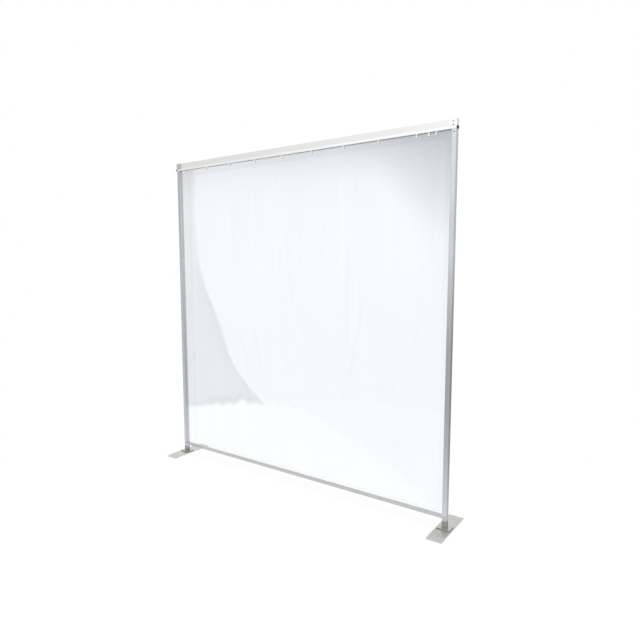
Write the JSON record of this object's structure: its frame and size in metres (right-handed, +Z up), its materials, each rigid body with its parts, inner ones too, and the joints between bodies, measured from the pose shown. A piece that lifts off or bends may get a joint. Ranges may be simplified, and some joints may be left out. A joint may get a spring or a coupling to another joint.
{
  "type": "welding curtain screen",
  "caption": "Free-standing screen: aluminium frame of posts, top track and bottom rail with a clear vinyl curtain hung from sliding gliders, on flat feet that swivel.",
  "frame": {"origin": "on the floor under the middle of the whole screen", "axes": "+X along the screen towards the curtain's leading edge, -Y the front, +Z up"},
  "size_m": [2.005, 0.305, 2],
  "materials": {
    "tube_aluminium": "polished extruded square tube",
    "rail_aluminium": "satin anodised extrusion",
    "low_rail_aluminium": "satin anodised extrusion",
    "bracket_aluminium": "bright satin sheet",
    "block_aluminium": "machined",
    "foot_steel": "brushed plate",
    "socket_steel": "brushed, darker",
    "screw_steel": "zinc plated",
    "black_plastic": "matte moulded",
    "plug_plastic": "light grey moulded",
    "white_nylon": "white moulded nylon",
    "eyelet_nickel": "nickel plated",
    "pad_rubber": "matte black",
    "clear_vinyl": "clear soft vinyl, faint blue"
  },
  "bodies": {
    "frame": {"top_rail": "rail_aluminium", "bottom_rail": "low_rail_aluminium", "post_left": "tube_aluminium", "corner_block_left": "block_aluminium", "bracket_left": "bracket_aluminium", "bracket_screw_left_1": "screw_steel", "bracket_screw_left_2": "screw_steel", "post_screw_left": "screw_steel", "track_plug_left": "black_plastic", "rail_connector_left": "block_aluminium", "rail_screw_left": "screw_steel", "post_plug_left": "plug_plastic", "clamp_screw_left": "screw_steel", "post_right": "tube_aluminium", "corner_block_right": "block_aluminium", "bracket_right": "bracket_aluminium", "bracket_screw_right_1": "screw_steel", "bracket_screw_right_2": "screw_steel", "post_screw_right": "screw_steel", "track_plug_right": "black_plastic", "rail_connector_right": "block_aluminium", "rail_screw_right": "screw_steel", "post_plug_right": "plug_plastic", "clamp_screw_right": "screw_steel", "curtain": "clear_vinyl"},
    "foot_left": {"foot_plate_left": "foot_steel", "foot_socket_left": "socket_steel", "foot_bolt_left_1": "screw_steel", "foot_bolt_left_2": "screw_steel", "foot_pad_left_front": "pad_rubber", "foot_pad_left_back": "pad_rubber"},
    "foot_right": {"foot_plate_right": "foot_steel", "foot_socket_right": "socket_steel", "foot_bolt_right_1": "screw_steel", "foot_bolt_right_2": "screw_steel", "foot_pad_right_front": "pad_rubber", "foot_pad_right_back": "pad_rubber"},
    "glider_01": {"glider_01": "white_nylon", "eyelet_01": "eyelet_nickel"},
    "glider_02": {"glider_02": "white_nylon", "eyelet_02": "eyelet_nickel"},
    "glider_03": {"glider_03": "white_nylon", "eyelet_03": "eyelet_nickel"},
    "glider_04": {"glider_04": "white_nylon", "eyelet_04": "eyelet_nickel"},
    "glider_05": {"glider_05": "white_nylon", "eyelet_05": "eyelet_nickel"},
    "glider_06": {"glider_06": "white_nylon", "eyelet_06": "eyelet_nickel"},
    "glider_07": {"glider_07": "white_nylon", "eyelet_07": "eyelet_nickel"},
    "glider_08": {"glider_08": "white_nylon", "eyelet_08": "eyelet_nickel"},
    "glider_09": {"glider_09": "white_nylon", "eyelet_09": "eyelet_nickel"},
    "glider_10": {"glider_10": "white_nylon", "eyelet_10": "eyelet_nickel"},
    "glider_11": {"glider_11": "white_nylon", "eyelet_11": "eyelet_nickel"}
  },
  "joints": [
    {"name": "foot_left_swivel", "type": "hinge", "parent": "frame", "child": "foot_left", "pos_m": [-0.9625, -0.008, 0.04], "axis": [0, 0, 1], "range_deg": [-90, 90]},
    {"name": "foot_right_swivel", "type": "hinge", "parent": "frame", "child": "foot_right", "pos_m": [0.9625, -0.008, 0.04], "axis": [0, 0, 1], "range_deg": [-90, 90]},
    {"name": "curtain_draw", "type": "slide", "parent": "frame", "child": "glider_01", "axis": [-1, 0, 0], "range_m": [0, 1.1833], "deforming": ["curtain"]},
    {"name": "glider_02_slide", "type": "slide", "parent": "frame", "child": "glider_02", "axis": [-1, 0, 0], "range_m": [0, 1.1598]},
    {"name": "glider_03_slide", "type": "slide", "parent": "frame", "child": "glider_03", "axis": [-1, 0, 0], "range_m": [0, 1.1175]},
    {"name": "glider_04_slide", "type": "slide", "parent": "frame", "child": "glider_04", "axis": [-1, 0, 0], "range_m": [0, 0.9806]},
    {"name": "glider_05_slide", "type": "slide", "parent": "frame", "child": "glider_05", "axis": [-1, 0, 0], "range_m": [0, 0.8437]},
    {"name": "glider_06_slide", "type": "slide", "parent": "frame", "child": "glider_06", "axis": [-1, 0, 0], "range_m": [0, 0.7068]},
    {"name": "glider_07_slide", "type": "slide", "parent": "frame", "child": "glider_07", "axis": [-1, 0, 0], "range_m": [0, 0.5699]},
    {"name": "glider_08_slide", "type": "slide", "parent": "frame", "child": "glider_08", "axis": [-1, 0, 0], "range_m": [0, 0.433]},
    {"name": "glider_09_slide", "type": "slide", "parent": "frame", "child": "glider_09", "axis": [-1, 0, 0], "range_m": [0, 0.2961]},
    {"name": "glider_10_slide", "type": "slide", "parent": "frame", "child": "glider_10", "axis": [-1, 0, 0], "range_m": [0, 0.1592]},
    {"name": "glider_11_slide", "type": "slide", "parent": "frame", "child": "glider_11", "axis": [-1, 0, 0], "range_m": [0, 0.0223]}
  ],
  "couplings": [
    {"joint": "glider_02_slide", "follows": "curtain_draw", "ratio": 0.97968},
    {"joint": "glider_03_slide", "follows": "curtain_draw", "ratio": 0.94397},
    {"joint": "glider_04_slide", "follows": "curtain_draw", "ratio": 0.82827},
    {"joint": "glider_05_slide", "follows": "curtain_draw", "ratio": 0.71258},
    {"joint": "glider_06_slide", "follows": "curtain_draw", "ratio": 0.59688},
    {"joint": "glider_07_slide", "follows": "curtain_draw", "ratio": 0.48119},
    {"joint": "glider_08_slide", "follows": "curtain_draw", "ratio": 0.36549},
    {"joint": "glider_09_slide", "follows": "curtain_draw", "ratio": 0.24979},
    {"joint": "glider_10_slide", "follows": "curtain_draw", "ratio": 0.1341},
    {"joint": "glider_11_slide", "follows": "curtain_draw", "ratio": 0.018402}
  ]
}
